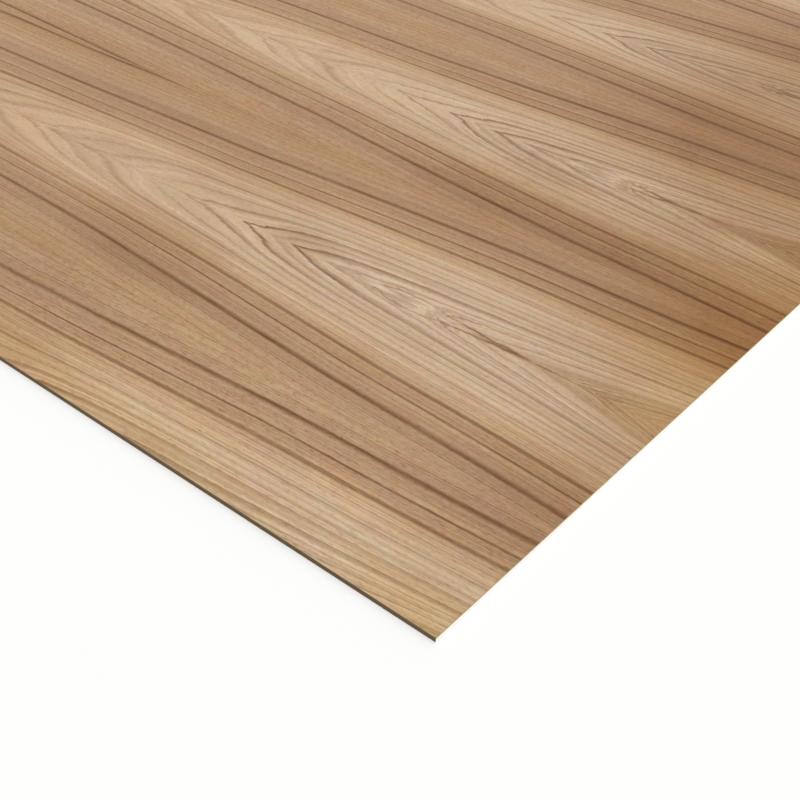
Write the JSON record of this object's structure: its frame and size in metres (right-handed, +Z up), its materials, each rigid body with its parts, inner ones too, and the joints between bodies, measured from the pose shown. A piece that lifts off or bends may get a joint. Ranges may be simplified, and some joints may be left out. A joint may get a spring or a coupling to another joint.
{
  "type": "teak plywood sheet",
  "caption": "Thin flat sheet of plywood faced with book-matched crown-cut teak leaves over a cross-grained core and a plain back veneer.",
  "frame": {"origin": "centre of the underside, where the back veneer lies on the floor", "axes": "+X along the sheet's length and the face grain, +Y across it towards the far long edge, +Z up out of the teak face"},
  "size_m": [2.44, 1.22, 0.004],
  "materials": {
    "teak_face": "fine sanded, unfinished",
    "core_wood": "sawn edge, raw",
    "back_veneer": "sanded, raw"
  },
  "bodies": {
    "root": {"teak_leaf_1": "teak_face", "teak_leaf_2": "teak_face", "teak_leaf_3": "teak_face", "teak_leaf_4": "teak_face", "teak_leaf_5": "teak_face", "core_ply": "core_wood", "back_ply": "back_veneer"}
  },
  "joints": []
}
